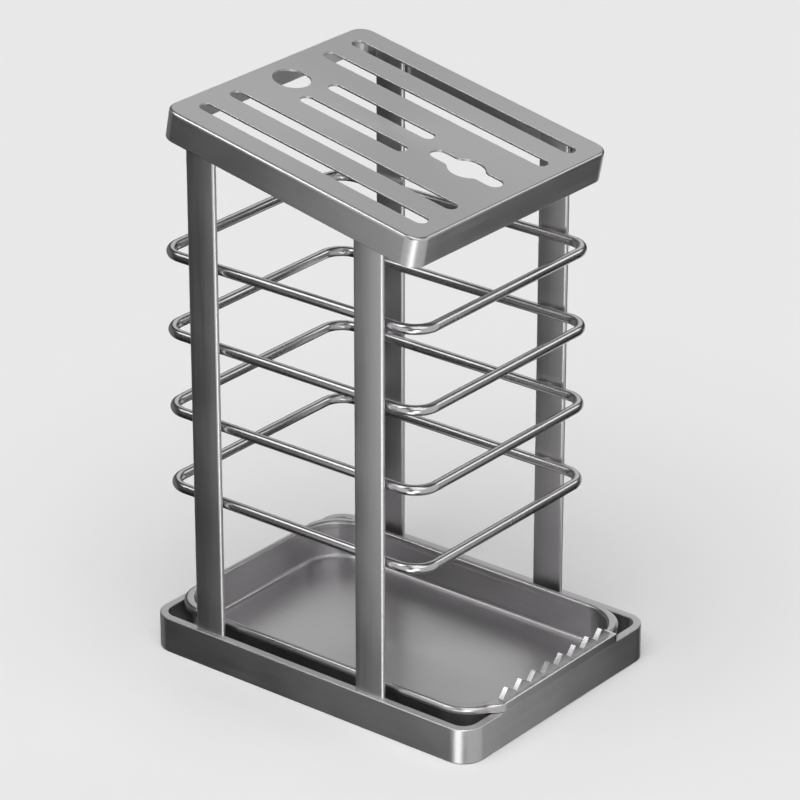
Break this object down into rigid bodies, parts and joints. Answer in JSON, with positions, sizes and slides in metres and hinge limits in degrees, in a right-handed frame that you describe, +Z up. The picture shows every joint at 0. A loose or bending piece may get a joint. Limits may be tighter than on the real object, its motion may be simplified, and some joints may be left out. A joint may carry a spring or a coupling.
{
  "type": "knife holder rack",
  "caption": "Free-standing steel rack for kitchen knives and tools: slotted sloping top, flat posts, wire rings, base band and a lift-out drip tray with a toothed lip.",
  "frame": {"origin": "middle of the base, on the surface that the rack stands on", "axes": "+X along the long side towards the low end of the sloping top, +Y towards the back, +Z up"},
  "size_m": [0.155, 0.115, 0.225],
  "materials": {
    "band_steel": "fine satin, smooth rounded corners",
    "post_steel": "fine satin with a bright broken edge",
    "top_steel": "fine matt satin",
    "wire_steel": "polished round wire",
    "tray_steel": "satin pressed sheet with a bright rim"
  },
  "bodies": {
    "rack": {"base_band": "band_steel", "post_front_left": "post_steel", "post_front_right": "post_steel", "post_back_left": "post_steel", "post_back_right": "post_steel", "wire_ring_1": "wire_steel", "wire_ring_2": "wire_steel", "wire_ring_3": "wire_steel", "wire_ring_4": "wire_steel", "top_plate": "top_steel"},
    "tray": {"drip_tray": "tray_steel", "tray_toothed_lip": "tray_steel"}
  },
  "joints": [
    {"name": "tray_lift", "type": "slide", "parent": "rack", "child": "tray", "axis": [0, 0, 1], "range_m": [0, 0.048]}
  ]
}
